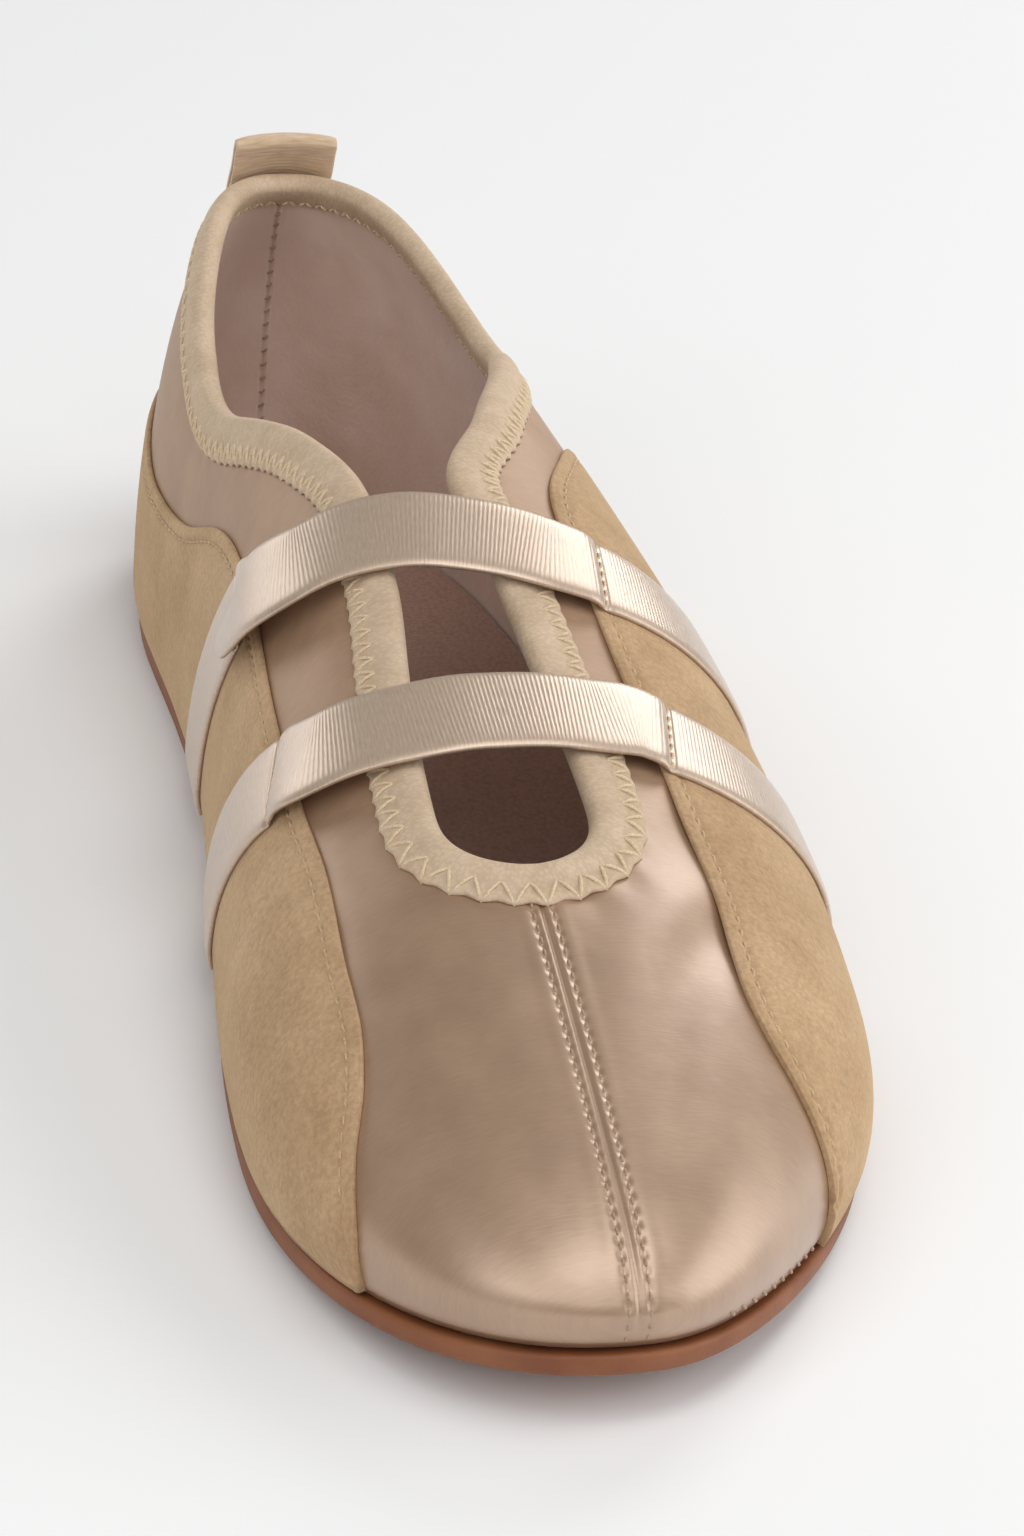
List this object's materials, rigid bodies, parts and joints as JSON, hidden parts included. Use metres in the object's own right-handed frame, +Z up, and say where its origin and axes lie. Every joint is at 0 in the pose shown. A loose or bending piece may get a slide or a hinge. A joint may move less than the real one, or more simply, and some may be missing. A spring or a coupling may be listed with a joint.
{
  "type": "ballet sneaker",
  "caption": "Slip-on ballet sneaker, left: hollow satin upper with suede side panels, a bound topline and slot, elastic straps over the instep, a heel pull tab and a thin flat sole.",
  "frame": {"origin": "centre of the bounding box at floor level", "axes": "+Z up, -Y towards the toe, +Y towards the heel, +X towards the outer side of the foot"},
  "size_m": [0.0862, 0.2492, 0.0716],
  "materials": {
    "gum_rubber": "matt gum-coloured rubber",
    "insole_cloth": "soft mauve lining cloth over foam",
    "satin": "champagne stretch satin with a soft sheen",
    "suede": "tan suede with a short nap",
    "binding_cloth": "matt beige knitted binding",
    "elastic": "ribbed elastic webbing with a slight shine",
    "tape": "matt woven tape"
  },
  "bodies": {
    "root": {"outsole": "gum_rubber", "insole": "insole_cloth", "upper": "satin", "suede_panel_lateral": "suede", "suede_panel_medial": "suede", "topline_binding": "binding_cloth", "strap_rear": "elastic", "strap_front": "elastic", "pull_tab": "tape"}
  },
  "joints": []
}
